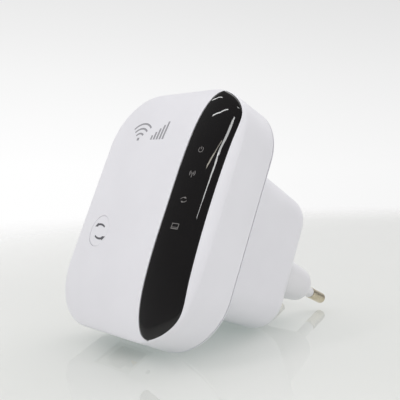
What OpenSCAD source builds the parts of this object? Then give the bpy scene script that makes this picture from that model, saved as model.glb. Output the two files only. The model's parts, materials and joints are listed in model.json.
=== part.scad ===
// Plug-in wireless range extender, lying back on its plug as it rests on a table.
// Every piece is drawn upright, as it hangs in a wall socket: X runs to the right, the body's
// back plane is y = 0, the front faces -y, the plug points to +y, and z = 0 is the body's bottom.
// as_it_rests() then leans the whole until the body's lower back edge and the plug housing's
// lower rear edge both touch z = 0. All sizes are in millimetres.

/* [Body] */
// Width of the body
body_w = 60; // [56:0.5:72]
// Height of the body
body_h = 78; // [74:0.5:92]
// Depth of the body's straight sides
side_depth = 13.5; // [13:0.1:18]
// How far the pillow front swells out beyond the straight sides
dome = 5.5; // [4:0.1:8]
// Radius of the body's four corners, seen from the front
corner_r = 18; // [14:0.5:22]
// Wall thickness of the front shell
wall = 2; // [1.8:0.1:2.5]
// Rounding of the body's back edge
rim_r = 1.2; // [0.6:0.1:1.6]
// Thickness of the back plate that closes the body
plate_t = 2; // [1.5:0.1:3]

/* [Plug housing] */
// Width of the plug housing where it leaves the body
housing_w = 46; // [45:0.5:52]
// Height of the plug housing where it leaves the body
housing_h = 49.6; // [49:0.1:56]
// Depth of the plug housing
housing_depth = 37; // [34:0.5:44]
// Height of the housing's middle above the body's bottom
housing_z = 38.2; // [36:0.1:42]
// Corner radius of the housing
housing_r = 10; // [9:0.5:13]
// Rounding of the housing's rear edges
housing_edge_r = 5.5; // [4:0.5:7]
// How far each side draws in over the housing's depth
housing_draw = 1.85; // [0.5:0.05:3]
// Wall thickness of the housing
housing_wall = 2; // [1.5:0.1:2.5]

/* [Plug] */
// Width of the oblong nose that carries the pins
nose_w = 37; // [34:0.5:38]
// Height of the nose
nose_h = 13.7; // [13:0.1:15]
// Length of the nose behind the housing
nose_length = 18; // [14:0.5:19]
// Rounding of the nose's end
nose_end_r = 5; // [3:0.5:5.5]
// How far the nose draws in on each side over its length
nose_draw = 0.8; // [0:0.1:1]
// Height of the pins above the body's bottom
pin_z = 35.6; // [35:0.1:37.5]
// Distance between the two pins
pin_spacing = 19; // [18:0.5:20]
// Diameter of a pin's bare tip
pin_d = 4; // [3.8:0.1:4.8]
// Diameter of a pin inside its sleeve
pin_core_d = 3; // [2.6:0.1:3.2]
// Length of a pin beyond the nose
pin_length = 17; // [16:0.5:20]
// Length of the insulating sleeve beyond the nose
sleeve_length = 8.5; // [8:0.5:11]
// How deep the sleeve sits in the nose
sleeve_seat = 3; // [2:0.5:5]

/* [Indicator strip] */
// Width of the black strip
strip_w = 14; // [12:0.1:16]
// Distance of the strip from the body's right side
strip_margin = 3; // [2:0.1:5]
// How far the strip's outer edge flares out towards the body's ends
strip_flare = 2.5; // [0:0.1:3]
// Distance of the strip's round ends from the body's outline
strip_edge = 0.5; // [0.5:0.1:1.5]
// How far the strip's inner edge sweeps outward at both ends
strip_sweep = 4.5; // [2:0.1:6]
// Length of that sweep
strip_sweep_len = 18; // [8:0.5:20]
// Thickness of the strip
strip_t = 1.2; // [0.8:0.1:1.4]
// How far the strip's middle stands proud of the front
strip_crown = 0.4; // [0.2:0.05:0.8]
// Distance of the row of lights from the strip's inner edge
led_inset = 5.3; // [4:0.1:8]
// Height of the lowest light
led_z = 33; // [30:0.5:36]
// Distance between lights
led_pitch = 7.6; // [6:0.1:8.5]
// Diameter of a light guide's column
guide_d = 2.4; // [1.8:0.1:3]

/* [Push button] */
// Distance of the button to the left of the middle
button_x = 14.5; // [12:0.5:16]
// Height of the button's middle
button_z = 28.7; // [26:0.1:36]
// Diameter of the button
button_d = 9.6; // [8:0.1:11]
// Travel of the button
button_travel = 0.5; // [0.3:0.05:0.7]
// Thickness of the flange that keeps the button in
flange_t = 1; // [0.8:0.1:1.5]

/* [Network socket] */
// Width of the socket's housing
jack_w = 16; // [15:0.1:17]
// Front-to-back size of the socket's housing
jack_d = 10.6; // [10.4:0.1:11]
// Length of the socket's housing
jack_l = 18.3; // [16:0.1:21]
// Width of the plug's way in
mouth_w = 12; // [11.7:0.1:12.5]
// Front-to-back size of the plug's way in
mouth_d = 6.9; // [6.7:0.1:7.1]
// Width of the latch's way in
latch_w = 6.2; // [5.8:0.1:6.6]
// Front-to-back size of the latch's way in
latch_d = 1.4; // [1.2:0.1:1.5]
// Depth of the plug's way in
mouth_l = 13; // [11:0.1:14]
// How far the socket's face sits above the body's bottom
jack_recess = 0.6; // [0.4:0.1:1.5]

/* [Boards] */
// Thickness of both circuit boards
board_t = 1.2; // [1:0.1:1.6]
// Room between the back plate and the main board
board_gap = 5.5; // [5:0.1:6]
// Room between the main board's edge and the shell's inside
board_margin = 1; // [0.5:0.1:2]
// Room between the power board and the housing's rear wall
power_gap = 5; // [4:0.1:7]
// Room between the power board's edge and the housing's inside
power_margin = 1; // [0.5:0.1:2]
// Diameter of the screw posts
post_d = 5; // [4:0.1:6]
// Diameter of a screw's thread
screw_d = 2; // [1.6:0.1:2.2]
// Diameter of a screw's head
screw_head_d = 4; // [3.4:0.1:4.4]
// Length of a screw's thread
screw_l = 5; // [4:0.1:5.5]

/* [Clearances] */
// Gap around pieces that fit into each other
fit_gap = 0.15; // [0.1:0.05:0.25]
// Gap around pieces that move
run_gap = 0.25; // [0.15:0.05:0.35]

/* [Hidden] */
$fn = 48;

// colours
white = "#e4e4e8";
black = "#1c1b1d";
brass = "#b8975a";
steel = "#b9bcc0";
green = "#2d6a3d";
chip_grey = "#2b2c2f";

// facets of the lofted surfaces
corner_steps = 12;
dome_steps = 10;
edge_steps = 6;
rim_steps = 4;
strip_rows = 36;
strip_cols = 7;

// body
half_w = body_w / 2;
half_h = body_h / 2;
cut = 1;
vent_count = 9;
vent_pitch = 2.4;
vent_w = 1.2;
vent_margin = 2.5;

// plug housing: the arcs of its rear edge and of the body's back edge give the lean
edge_y = housing_depth - housing_edge_r;
edge_inset = housing_draw * edge_y / housing_depth;
edge_z = housing_z - housing_h / 2 + edge_inset + housing_edge_r;
lean = atan2(edge_z - rim_r, edge_y + rim_r)
    - asin((housing_edge_r - rim_r) / norm([edge_y + rim_r, edge_z - rim_r]));
rest_z = rim_r * (sin(lean) + cos(lean) - 1);
housing_back = housing_depth - housing_wall;

// plug
nose_tip = housing_depth + nose_length;
pin_tip = nose_tip + pin_length;
sleeve_end = nose_tip + sleeve_length;
sleeve_start = nose_tip - sleeve_seat;
sleeve_wall_gap = 0.02;
sleeve_shy = 0.2;
sleeve_r = pin_d / 2 - sleeve_shy;
pin_round = pin_d / 4;
nose_steps = 10;
nose_flange = 2;
nose_flange_t = 2;
nose_flange_shy = 0.5;
nose_flange_w = housing_w - 2 * (edge_inset + housing_edge_r + nose_flange_shy);

// strip and lights
strip_right = half_w - strip_margin;
strip_left = strip_right - strip_w;
strip_low = strip_edge + 1;
strip_high = body_h - strip_low;
strip_sweep_power = 2.5;
strip_blend = 1.1;
strip_bed = 0.1;
strip_tip_w = 0.2;
pocket_raise = 2;
led_count = 4;
led_x = strip_left + led_inset;
led_h = 0.8;
led_size = 1.6;
bar_w = 4;
bar_t = 1.2;
bar_gap = 0.2;
guide_front_gap = 0.1;
guide_led_gap = 0.2;

// main board
board_back = -(plate_t + board_gap);
board_front = board_back - board_t;
board_w = body_w - 2 * (wall + board_margin);
board_h = body_h - 2 * (wall + board_margin);
board_r = corner_r - wall - board_margin;
post_inset_x = 6.5;
post_inset_z = 9.5;
post_sink = 1;
post_x = board_w / 2 - post_inset_x;
post_z = board_h / 2 - post_inset_z;
screw_head_t = 1.3;
screw_play = 0.03;
screw_room = 0.5;
slot_w = 0.6;
slot_l = 0.6 * screw_head_d;
leg_overlap = 0.2;
leg_share = 0.4;
leg_pitch = 1.27;

// radio, its shield and memory on the main board's back
shield_w = 22;
shield_h = 18;
shield_t = 2.4;
shield_wall = 0.3;
shield_x = -9;
shield_rise = 12;
shield_z = half_h + shield_rise;
radio_w = 9;
radio_t = 0.9;
memory_size = [5, 1.6, 4];
memory_x = 7.5;
memory_rise = 15;
memory_z = half_h + memory_rise;
crystal_size = [3.2, 0.8, 2.5];
crystal_rise = 6;
crystal_z = half_h + crystal_rise;

// antennas
antenna_w = 11;
antenna_t = 0.4;
antenna_h = 3.2;
antenna_fold = 3;
antenna_inset = 13;
antenna_x = board_w / 2 - antenna_inset;
antenna_drop = 3.2;
antenna_z = half_h + board_h / 2 - antenna_drop;
antenna_foot = 1.6;
antenna_lift = 1.5;

// network socket
jack_room = 0.2;
jack_back = -(plate_t + jack_room);
jack_top = jack_recess + jack_l;
jack_wall = 1.1;
jack_cut = wall + 2;
mouth_back = jack_back - jack_wall;
mouth_front = mouth_back - mouth_d;
contact_count = 8;
contact_pitch = 1.02;
contact_w = 0.45;
contact_l = 8;
magnetics_size = [12.7, 5, 7];
magnetics_rise = 8.5;
magnetics_z = jack_top + magnetics_rise;
magnetics_leg = 1.2;

// push button and its switch
button_hole_r = button_d / 2 + run_gap;
guide_wall = 1.5;
guide_r = button_hole_r + guide_wall;
guide_lip = 0.5;
button_seat = inner_y(-button_x - guide_r, button_z) + guide_lip;
flange_gap = 0.2;
flange_rim = 1;
flange_front = button_seat + flange_gap;
flange_back = flange_front + flange_t;
flange_r = button_hole_r + flange_rim;
switch_w = 6;
switch_h = 2.5;
plunger_h = 0.9;
plunger_r = 1.7;
plunger_sink = 1.2;
plunger_top = board_front - switch_h - plunger_h;
stem_r = 1.5;
stem_gap = 0.1;

// reset switch behind its pinhole in the bottom
reset_side = 5.5;
reset_x = jack_w / 2 + reset_side;
reset_hole_r = 0.8;
reset_w = 4;
reset_l = 3.4;
reset_h = 2.2;
reset_rise = 1.4;
reset_z = wall + board_margin + reset_rise;
reset_travel = 0.3;
reset_stick = 0.8;
reset_sink = 1;
reset_plunger_r = 0.9;
reset_y = board_front - reset_h / 2;

// snap hooks that hold the rear cover in the shell
hook_w = 6;
hook_t = 1.2;
hook_l = 4.5;
hook_barb = 0.5;
barb_l = 1.5;
hook_z = 11;
hook_x = half_w - wall - fit_gap - hook_t;

// power board
power_back = housing_back - power_gap;
power_front = power_back - board_t;
power_inset = housing_draw * power_back / housing_depth + housing_wall + power_margin;
power_w = housing_w - 2 * power_inset;
power_h = housing_h - 2 * power_inset;
power_corner_ease = 1;
power_r = housing_r - housing_wall - power_margin - power_corner_ease;
power_post_inset = 4.6;
power_post_x = power_w / 2 - power_post_inset;
power_post_z = power_h / 2 - power_post_inset;
power_left = -power_w / 2;
power_right = power_w / 2;
power_low = housing_z - power_h / 2;
power_high = housing_z + power_h / 2;
tail_out = 1;
tail_gap = 0.1;

// leads between the boards, near the power board's right edge
lead_inset = 4.4;
lead_x = power_right - lead_inset;
lead_rise = 8;
lead_z = housing_z + lead_rise;
lead_pitch = 2.5;
lead_r = 0.7;
lead_sink = 1;
connector_w = 4.5;
connector_rim = 1;
connector_h = 2 * (lead_pitch + connector_rim);
connector_t = 4;

// pieces of the power board, whose widths are shares of its own; gaps between neighbours
core_share = 0.46;
can_share = 0.108;
choke_share = 0.092;
output_share = 0.084;
lead_gap = 0.2;
core_gap = 0.5;
can_gap = 0.8;

// output capacitor left of the leads
output_r = output_share * power_w;
output_h = 10.5;
output_x = lead_x - lead_r - lead_gap - output_r;

// transformer left of it: outer frame, middle leg and the windows for the winding
core_w = core_share * power_w;
core_h = 13;
core_d = 15;
core_yoke = core_w / 5;
core_leg = 0.3 * core_w;
core_window = core_w / 5;
core_x = output_x - output_r - core_gap - core_w / 2;
core_rise = 12;
core_z = pin_z + core_rise;
window_gap = 0.2;
output_rise = 1.2;
output_z = core_z + output_rise;

// capacitors and choke in a row below the pins
can_r = can_share * power_w;
choke_r = choke_share * power_w;
can_h = 13;
can_pitch = 2 * can_r + can_gap;
can_x = -(can_r + choke_r + can_gap) - can_gap / 4;
can_drop = 9;
can_z = pin_z - can_drop;
crimp_r = 0.7;
crimp_out = 0.3;
crimp_z = 2;
choke_h = 9;
choke_groove = 6;
choke_groove_d = 1;
choke_x = can_x + can_pitch + can_r + choke_r + can_gap;

// fuse, rectifier, safety capacitor and controller
wire_r = 0.3;
fuse_r = 1.6;
fuse_l = 8;
fuse_inset = 2.8;
fuse_x = power_right - fuse_inset;
fuse_lift = 0.6;
fuse_y = power_front - fuse_r - fuse_lift;
fuse_drop = 4;
fuse_z = pin_z - fuse_drop;
fuse_end = 0.5;
rectifier_size = [4.8, 2.6, 6.2];
rectifier_foot = 1;
disc_r = 4;
disc_t = 3;
disc_gap = 1;
disc_x = core_x + core_w / 2 + disc_r + disc_gap;
disc_lift = 1;
disc_y = power_front - disc_r - disc_lift;
disc_rise = 4.6;
disc_z = pin_z + disc_rise;
disc_wire = 2.5;
controller_size = [4, 1.5, 3.6];
controller_foot = 0.8;
controller_x = (power_left - pin_spacing / 2 - pin_core_d / 2) / 2;

// points of a rounded rectangle about the middle, seen from the front
function outline(w, h, r) = [for (corner = [0:3], step = [0:corner_steps])
    let (angle = 90 * (corner + step / corner_steps),
         sx = corner == 0 || corner == 3 ? 1 : -1,
         sz = corner < 2 ? 1 : -1)
    [sx * (w / 2 - r) + r * cos(angle), sz * (h / 2 - r) + r * sin(angle)]];

// the outline at a depth y, drawn in to a share k of its size about the height z
function ring(w, h, r, y, z, k = 1) = [for (p = outline(w, h, r)) [k * p[0], y, z + k * p[1]]];

// share k at which a rounded rectangle of half sizes a and b passes through (x, z)
function share(x, z, a, b, r) =
    let (px = abs(x), pz = abs(z), p = a - r, q = b - r, flat = max(px / a, pz / b),
         along = px * p + pz * q, square = px * px + pz * pz, spread = p * p + q * q - r * r)
    px > flat * p && pz > flat * q
        ? square / (along + sqrt(along * along - spread * square)) : flat;

// height of the pillow over its straight sides at a share k
function swell(k) = dome * sqrt(max(0, 1 - k * k));
function front_y(x, z) = -side_depth - swell(min(1, share(x, z - half_h, half_w, half_h, corner_r)));
function inner_y(x, z) = wall - side_depth
    - swell(min(1, share(x, z - half_h, half_w - wall, half_h - wall, corner_r - wall)));

// the strip's inner edge is straight and sweeps outward at both ends
function strip_inner(z) =
    let (from_end = min(z - strip_low, strip_high - z),
         t = min(1, max(0, 1 - from_end / strip_sweep_len)))
    strip_left + strip_sweep * (1 - pow(1 - pow(t, strip_sweep_power), 1 / strip_sweep_power));

// the strip's outer edge flares towards both ends and runs into an arc along the body's corners
function strip_outer(z) =
    let (from_end = min(z, body_h - z), rise = max(0, corner_r - from_end),
         arc = half_w - corner_r + sqrt(max(0, pow(corner_r - strip_edge, 2) - rise * rise)),
         flare = strip_right + strip_flare * pow((z - half_h) / half_h, 2))
    -strip_blend * ln(exp(-flare / strip_blend) + exp(-arc / strip_blend));

// closed skin through rings of equally many points
module loft(rings) {
    n = len(rings[0]);
    m = len(rings);
    sides = [for (i = [0:m - 2], j = [0:n - 1])
        let (a = i * n + j, b = i * n + (j + 1) % n)
        each [[a, b, b + n], [a, b + n, a + n]]];
    first_cap = [for (j = [n - 1:-1:0]) j];
    last_cap = [for (j = [0:n - 1]) (m - 1) * n + j];
    polyhedron([for (r = rings) each r], concat(sides, [first_cap, last_cap]), convexity = 8);
}

// pillow with a wall taken off: outlines that grow over the dome, then straight sides to y = 0,
// where the outside has a rounded edge
function pillow(off) =
    let (w = body_w - 2 * off, h = body_h - 2 * off, r = corner_r - off, side = side_depth - off)
    concat(
        [for (i = [dome_steps - 1:-1:1])
            let (angle = 90 * i / dome_steps)
            ring(w, h, r, -side - dome * sin(angle), half_h, cos(angle))],
        [ring(w, h, r, -side, half_h)],
        off > 0 ? [ring(w, h, r, 0, half_h)] : [for (i = [0:rim_steps])
            let (angle = 90 * i / rim_steps, inset = rim_r * (1 - cos(angle)))
            ring(w - 2 * inset, h - 2 * inset, r - inset, rim_r * (sin(angle) - 1), half_h)]);

function backwards(list) = [for (i = [len(list) - 1:-1:0]) list[i]];

module body_outside() {
    loft(pillow(0));
}

// skin that runs over the outside, round the rim at the back and over the inside
module body_wall() {
    loft(concat(pillow(0), backwards(pillow(wall))));
}

// plug housing: drafted sides, then an arc round the rear edges; thin is the wall taken off
module housing_form(thin, start) {
    r = housing_edge_r - thin;
    y = edge_y;
    loft(concat(
        [ring(housing_w - 2 * thin, housing_h - 2 * thin, housing_r - thin, start, housing_z)],
        [ring(housing_w - 2 * thin, housing_h - 2 * thin, housing_r - thin, 0, housing_z)],
        [for (i = [0:edge_steps])
            let (angle = 90 * i / edge_steps, inset = thin + edge_inset + r * (1 - cos(angle)))
            ring(housing_w - 2 * inset, housing_h - 2 * inset, housing_r - inset + edge_inset,
                y + r * sin(angle), housing_z)]));
}

// skin between two depths over the strip's outline, grown by a gap
module strip_form(grow, raise, crown, depth) {
    middle = (strip_low + strip_high) / 2;
    reach = (strip_high - strip_low) / 2;
    n = strip_cols;
    points = [for (side = [0, 1], i = [0:strip_rows], j = [0:n])
        let (turn = cos(180 * i / strip_rows),
             z = middle - (reach + grow) * turn,
             inside = middle - reach * turn,
             left = strip_inner(inside) - grow,
             right = max(strip_outer(inside) + grow, left + strip_tip_w),
             u = j / n,
             x = left + (right - left) * u,
             bulge = raise + crown * (1 - pow(2 * u - 1, 2)))
        [x, front_y(x, z) + (side == 0 ? -bulge : depth), z]];
    row = n + 1;
    back = (strip_rows + 1) * row;
    top = [for (i = [0:strip_rows - 1], j = [0:n - 1])
        let (a = i * row + j)
        each [[a, a + row, a + row + 1], [a, a + row + 1, a + 1]]];
    under = [for (f = top) [f[2] + back, f[1] + back, f[0] + back]];
    rim = concat([for (j = [0:n]) j], [for (i = [1:strip_rows]) i * row + n],
        [for (j = [n - 1:-1:0]) strip_rows * row + j], [for (i = [strip_rows - 1:-1:1]) i * row]);
    edge = [for (i = [0:len(rim) - 1])
        let (a = rim[i], b = rim[(i + 1) % len(rim)])
        each [[a, b, b + back], [a, b + back, a + back]]];
    polyhedron(points, concat(top, under, edge), convexity = 8);
}

// round bar along y
module rod(x, z, r, from, to) {
    translate([x, to, z]) rotate([90, 0, 0]) cylinder(r = r, h = to - from);
}

// block between two depths, centred on x and z
module block(x, z, w, h, from, to) {
    translate([x - w / 2, from, z - h / 2]) cube([w, to - from, h]);
}

module rounded(w, h, r) {
    square([w - 2 * r, h], center = true);
    square([w, h - 2 * r], center = true);
    for (sx = [-1, 1], sz = [-1, 1])
        translate([sx * (w / 2 - r), sz * (h / 2 - r)]) circle(r);
}

// flat plate with round corners between two depths
module plate(z, w, h, r, from, to) {
    translate([0, to, z]) rotate([90, 0, 0]) linear_extrude(to - from) rounded(w, h, r);
}

module at_board_posts() {
    for (sx = [-1, 1], sz = [-1, 1]) translate([sx * post_x, 0, half_h + sz * post_z]) children();
}

module at_power_posts() {
    for (sx = [-1, 1], sz = [-1, 1])
        translate([sx * power_post_x, 0, housing_z + sz * power_post_z]) children();
}

module at_lights() {
    for (i = [0:led_count - 1]) translate([led_x, 0, led_z + i * led_pitch]) children();
}

module at_hooks() {
    for (side = [0, 1], sz = [-1, 1])
        mirror([side, 0, 0]) translate([hook_x, 0, half_h + sz * hook_z]) children();
}

// leans the upright part back onto its two lower edges and centres it over the origin
module as_it_rests() {
    front_reach = min([for (p = outline(body_w, body_h, corner_r), i = [0:dome_steps])
        let (angle = 90 * i / dome_steps)
        -cos(lean) * (side_depth + dome * sin(angle))
            + sin(lean) * (half_h + cos(angle) * p[1])]);
    rear_reach = cos(lean) * (pin_tip - pin_round) + sin(lean) * (pin_z + pin_d / 2 - pin_round)
        + pin_round;
    translate([0, -(front_reach + rear_reach) / 2, -rest_z]) rotate([-lean, 0, 0]) children();
}

// body
module front_shell() {
    color(white) difference() {
        union() {
            body_wall();
            for (sx = [-1, 1], sz = [-1, 1])
                rod(sx * post_x, half_h + sz * post_z, post_d / 2,
                    inner_y(sx * post_x, half_h + sz * post_z) - post_sink, board_front);
            rod(-button_x, button_z, guide_r, inner_y(-button_x, button_z) - post_sink,
                button_seat);
        }
        strip_form(fit_gap, pocket_raise, 0, strip_t);
        at_board_posts() rod(0, 0, screw_d / 2, board_front - screw_l - screw_room, board_front + cut);
        at_lights() rod(0, 0, guide_d / 2 + fit_gap, -side_depth - dome, board_front);
        rod(-button_x, button_z, button_hole_r, -side_depth - dome - cut, button_seat + cut);
        block(0, 0, jack_w + 2 * fit_gap, 2 * jack_cut, jack_back - jack_d - fit_gap,
            jack_back + fit_gap);
        translate([reset_x, reset_y, -cut]) cylinder(r = reset_hole_r, h = wall + 2 * cut);
        for (i = [0:vent_count - 1])
            block((i - (vent_count - 1) / 2) * vent_pitch, body_h, vent_w, 2 * wall + cut,
                vent_margin - side_depth, -plate_t - vent_margin);
        at_hooks() block(hook_t + fit_gap, 0, 2 * (hook_barb + fit_gap), hook_w + 2 * run_gap,
            -plate_t - hook_l - run_gap, -plate_t - hook_l + barb_l + run_gap);
    }
}

module rear_cover() {
    color(white) difference() {
        union() {
            plate(half_h, body_w - 2 * (wall + fit_gap), body_h - 2 * (wall + fit_gap),
                corner_r - wall - fit_gap, -plate_t, 0);
            difference() {
                housing_form(0, -plate_t / 2);
                housing_form(housing_wall, -plate_t - cut);
            }
            at_power_posts() rod(0, 0, post_d / 2, power_back, housing_back + housing_wall / 2);
            at_hooks() {
                block(hook_t / 2, 0, hook_t, hook_w, -plate_t - hook_l, -plate_t / 2);
                block(hook_t, 0, 2 * hook_barb, hook_w, -plate_t - hook_l,
                    -plate_t - hook_l + barb_l);
            }
        }
        difference() {
            housing_form(housing_wall, -plate_t - cut);
            at_power_posts() rod(0, 0, post_d / 2, power_back, housing_depth);
        }
        at_power_posts() rod(0, 0, screw_d / 2, power_back - cut, power_back + screw_l - board_t);
        nose_bar(fit_gap, housing_back - cut, housing_depth + cut, 0, 0);
    }
}

module indicator_strip() {
    color(black) strip_form(0, 0, strip_crown, strip_t - strip_bed);
}

module push_button() {
    color(white) union() {
        intersection() {
            body_outside();
            rod(-button_x, button_z, button_d / 2, -side_depth - dome - cut, flange_back);
        }
        rod(-button_x, button_z, flange_r, flange_front, flange_back);
        rod(-button_x, button_z, stem_r, flange_front, plunger_top - stem_gap);
    }
}

// plug
module nose_bar(grow, from, to, end_r, draw) {
    r = nose_h / 2 + grow;
    steps = end_r > 0 ? nose_steps : 0;
    hull() for (side = [-1, 1])
        translate([side * (nose_w - nose_h) / 2, from, pin_z]) rotate([-90, 0, 0])
            rotate_extrude($fn = 40) polygon(concat(
                [[0, 0], [r, 0], [r, housing_depth - from]],
                [for (i = [0:steps])
                    let (angle = 90 * i / max(1, steps))
                    [r - draw - end_r * (1 - cos(angle)), to - from - end_r * (1 - sin(angle))]],
                [[0, to - from]]));
}

module plug_nose() {
    color(white) difference() {
        union() {
            nose_bar(0, housing_back - nose_flange_t / 2, nose_tip, nose_end_r, nose_draw);
            block(0, pin_z, nose_flange_w, nose_h + 2 * nose_flange, housing_back - nose_flange_t,
                housing_back);
        }
        for (side = [-1, 1]) {
            rod(side * pin_spacing / 2, pin_z, pin_core_d / 2 + sleeve_wall_gap,
                housing_back - nose_flange_t - cut, nose_tip + cut);
            rod(side * pin_spacing / 2, pin_z, sleeve_r + sleeve_wall_gap, sleeve_start,
                nose_tip + cut);
        }
    }
}

module pin(side) {
    tip_r = pin_d / 2;
    tail = power_front - tail_out;
    color(brass) translate([side * pin_spacing / 2, tail, pin_z]) rotate([-90, 0, 0])
        rotate_extrude() {
            square([pin_core_d / 2, pin_tip - tail - pin_round]);
            translate([0, sleeve_end - tail]) square([tip_r, pin_tip - sleeve_end - pin_round]);
            translate([0, sleeve_end - tail]) square([tip_r - pin_round, pin_tip - sleeve_end]);
            translate([tip_r - pin_round, pin_tip - tail - pin_round]) circle(pin_round);
        }
}

module pin_left() {
    pin(-1);
}

module pin_right() {
    pin(1);
}

module sleeve(side) {
    color(white) difference() {
        rod(side * pin_spacing / 2, pin_z, sleeve_r, sleeve_start, sleeve_end);
        rod(side * pin_spacing / 2, pin_z, pin_core_d / 2 + sleeve_wall_gap, sleeve_start - cut,
            sleeve_end + cut);
    }
}

module sleeve_left() {
    sleeve(-1);
}

module sleeve_right() {
    sleeve(1);
}

// main board and what it carries
module main_board() {
    color(green) difference() {
        plate(half_h, board_w, board_h, board_r, board_front, board_back);
        block(0, 0, jack_w + 2 * run_gap, 2 * (jack_top + run_gap), board_front - cut,
            board_back + cut);
        at_board_posts() rod(0, 0, screw_d / 2 + fit_gap, board_front - cut, board_back + cut);
    }
}

// small package on the main board's back, with a row of legs on both long sides
module package(x, z, size, legs, pitch, foot) {
    w = size[0];
    h = size[2];
    from = board_back;
    to = board_back + size[1];
    color(chip_grey) block(x, z, w, h, from, to);
    color(steel) for (side = [-1, 1], i = [0:legs - 1])
        block(x + (i - (legs - 1) / 2) * pitch, z + side * (h + foot - leg_overlap) / 2,
            pitch * leg_share, foot + leg_overlap, from, from + (to - from) * leg_share);
}

module rf_shield() {
    color(steel) difference() {
        block(shield_x, shield_z, shield_w, shield_h, board_back, board_back + shield_t);
        block(shield_x, shield_z, shield_w - 2 * shield_wall, shield_h - 2 * shield_wall,
            board_back - cut, board_back + shield_t - shield_wall);
    }
}

module radio_chip() {
    color(chip_grey) block(shield_x, shield_z, radio_w, radio_w, board_back, board_back + radio_t);
}

module memory_chip() {
    package(memory_x, memory_z, memory_size, 4, leg_pitch, 1);
}

module crystal() {
    color(steel) block(memory_x, crystal_z, crystal_size[0], crystal_size[2], board_back,
        board_back + crystal_size[1]);
}

module lan_transformer() {
    package(0, magnetics_z, magnetics_size, 8, leg_pitch, magnetics_leg);
}

module ethernet_jack() {
    color(black) difference() {
        block(0, jack_recess + jack_l / 2, jack_w, jack_l, jack_back - jack_d, jack_back);
        block(0, jack_recess, mouth_w, 2 * mouth_l, mouth_front, mouth_back);
        block(0, jack_recess, latch_w, 2 * mouth_l, mouth_front - latch_d, mouth_back);
    }
}

module jack_contacts() {
    color(brass) for (i = [0:contact_count - 1])
        block((i - (contact_count - 1) / 2) * contact_pitch,
            jack_recess + mouth_l - contact_l / 2, contact_w, contact_l, mouth_back - contact_w,
            mouth_back);
}

module status_leds() {
    color("#f4f4e8") at_lights() block(0, 0, led_size, led_size, board_front - led_h, board_front);
}

module light_guide() {
    bar_front = inner_y(led_x + bar_w / 2, led_z) + bar_gap;
    color("#dfe9ee") union() {
        at_lights() rod(0, 0, guide_d / 2,
            front_y(led_x + guide_d / 2, half_h) + strip_t + guide_front_gap,
            board_front - led_h - guide_led_gap);
        block(led_x, led_z + (led_count - 1) / 2 * led_pitch, bar_w,
            (led_count - 1) * led_pitch + bar_w, bar_front, bar_front + bar_t);
    }
}

module button_switch() {
    color(black) difference() {
        block(-button_x, button_z, switch_w, switch_w, board_front - switch_h, board_front);
        rod(-button_x, button_z, plunger_r + fit_gap, board_front - switch_h - cut,
            board_front - switch_h + plunger_sink + button_travel + fit_gap);
    }
}

module switch_plunger() {
    color("#8c8f94") rod(-button_x, button_z, plunger_r, plunger_top,
        board_front - switch_h + plunger_sink);
}

module reset_switch() {
    color(steel) difference() {
        block(reset_x, reset_z + reset_l / 2, reset_w, reset_l, board_front - reset_h, board_front);
        translate([reset_x, reset_y, reset_z - cut])
            cylinder(r = reset_plunger_r + fit_gap, h = cut + reset_sink + reset_travel + fit_gap);
    }
}

module reset_plunger() {
    color(black) translate([reset_x, reset_y, reset_z - reset_stick])
        cylinder(r = reset_plunger_r, h = reset_stick + reset_sink);
}

// stamped strip on edge, folded down to two feet on the board
module antenna(side) {
    color(brass) {
        block(side * antenna_x, antenna_z, antenna_w, antenna_t, board_front - antenna_h,
            board_front - antenna_lift);
        for (foot = [-1, 1])
            block(side * antenna_x + foot * (antenna_w - antenna_foot) / 2, antenna_z, antenna_foot,
                antenna_t, board_front - antenna_h, board_front);
        block(side * antenna_x, antenna_z - antenna_fold / 2, antenna_w, antenna_fold + antenna_t,
            board_front - antenna_h, board_front - antenna_h + antenna_t);
    }
}

module antenna_left() {
    antenna(-1);
}

module antenna_right() {
    antenna(1);
}

module dc_connector() {
    color("#efe9dc") difference() {
        block(lead_x, lead_z, connector_w, connector_h, board_back, board_back + connector_t);
        for (side = [-1, 1])
            rod(lead_x, lead_z + side * lead_pitch / 2, lead_r + fit_gap, board_back + lead_sink,
                board_back + connector_t + cut);
    }
}

module dc_lead() {
    for (side = [-1, 1])
        color(side > 0 ? "#b02a2a" : black)
            rod(lead_x, lead_z + side * lead_pitch / 2, lead_r, board_back + lead_sink, power_front);
}

// pan head screw with a cross slot, its head behind the seat
module screw(seat) {
    rod(0, 0, screw_d / 2 - screw_play, seat - screw_l, seat);
    difference() {
        rod(0, 0, screw_head_d / 2, seat, seat + screw_head_t);
        for (turn = [0, 90]) translate([0, seat + screw_head_t, 0]) rotate([0, turn, 0])
            cube([slot_l, screw_head_t, slot_w], center = true);
    }
}

module board_screws() {
    color(steel) at_board_posts() screw(board_back);
}

// power board and what it carries
module power_board() {
    color("#b98d4a") difference() {
        plate(housing_z, power_w, power_h, power_r, power_front, power_back);
        for (side = [-1, 1])
            rod(side * pin_spacing / 2, pin_z, pin_core_d / 2 + tail_gap, power_front - cut,
                power_back + cut);
        at_power_posts() rod(0, 0, screw_d / 2 + fit_gap, power_front - cut, power_back + cut);
    }
}

// two E cores face to face: outer frame with a middle leg
module transformer_core() {
    color("#45474c") difference() {
        block(core_x, core_z, core_w, core_h, power_front - core_d, power_front);
        for (side = [-1, 1])
            block(core_x + side * (core_leg + core_window) / 2, core_z, core_window,
                core_h + 2 * cut, power_front - core_d + core_yoke, power_front - core_yoke);
    }
}

// winding round the middle leg, through both windows
module transformer_winding() {
    turn = core_window - 2 * window_gap;
    color("#d9b53b") difference() {
        block(core_x, core_z, core_leg + 2 * (window_gap + turn), core_h + 2 * (window_gap + turn),
            power_front - core_d + core_yoke + window_gap, power_front - core_yoke - window_gap);
        block(core_x, core_z, core_leg + 2 * window_gap, core_h + 2 * window_gap,
            power_front - core_d, power_front);
    }
}

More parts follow.
